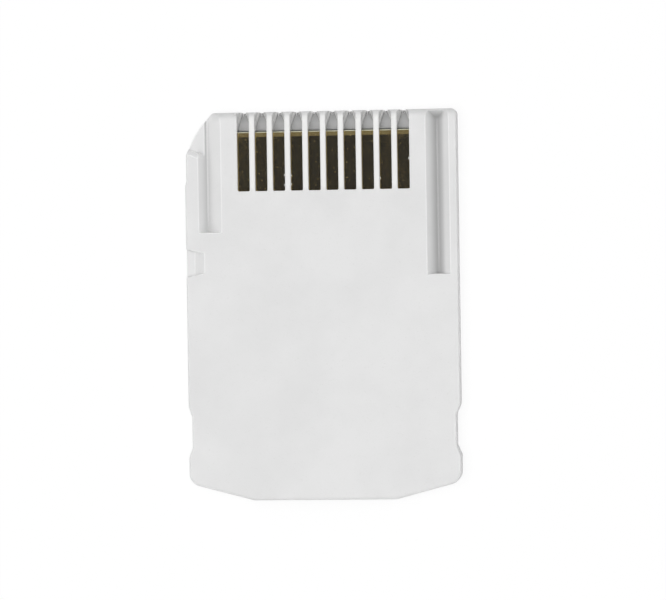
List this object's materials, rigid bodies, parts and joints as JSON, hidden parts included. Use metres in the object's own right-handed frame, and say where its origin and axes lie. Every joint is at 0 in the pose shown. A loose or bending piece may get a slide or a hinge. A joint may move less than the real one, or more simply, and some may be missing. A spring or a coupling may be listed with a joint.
{
  "type": "memory card adapter",
  "caption": "Thin white game-card shaped adapter with gold edge contacts in ribbed windows, side grooves and a slot in its tail for a micro memory card.",
  "frame": {"origin": "centre of the label face, which is the underside, in the middle of the body's length and width", "axes": "+Z out of the contact face, +Y towards the contact end, +X to the right as seen from the contact side"},
  "size_m": [0.022, 0.0312, 0.002],
  "materials": {
    "shell_plastic": "white moulded plastic with a fine matt grain",
    "board_laminate": "glass fibre laminate with a bare bevelled edge",
    "holder_plastic": "black moulded insulator",
    "retainer_steel": "stamped spring steel",
    "contact_gold": "polished gold plating with fine insertion scratches",
    "spring_alloy": "gold plated copper alloy strip",
    "capacitor_body": "fired ceramic with tinned ends",
    "resistor_body": "black coated ceramic with tinned ends"
  },
  "bodies": {
    "root": {"contact_side_shell": "shell_plastic", "label_side_shell": "shell_plastic", "circuit_board": "board_laminate", "contact_holder": "holder_plastic", "card_retainer": "retainer_steel", "contact_pad_01": "contact_gold", "contact_pad_02": "contact_gold", "contact_pad_03": "contact_gold", "contact_pad_04": "contact_gold", "contact_pad_05": "contact_gold", "contact_pad_06": "contact_gold", "contact_pad_07": "contact_gold", "contact_pad_08": "contact_gold", "contact_pad_09": "contact_gold", "contact_pad_10": "contact_gold", "card_spring_1": "spring_alloy", "card_spring_2": "spring_alloy", "card_spring_3": "spring_alloy", "card_spring_4": "spring_alloy", "card_spring_5": "spring_alloy", "card_spring_6": "spring_alloy", "card_spring_7": "spring_alloy", "card_spring_8": "spring_alloy", "bulk_capacitor": "capacitor_body", "decoupling_capacitor": "capacitor_body", "pull_up_resistor_1": "resistor_body", "pull_up_resistor_2": "resistor_body"}
  },
  "joints": []
}
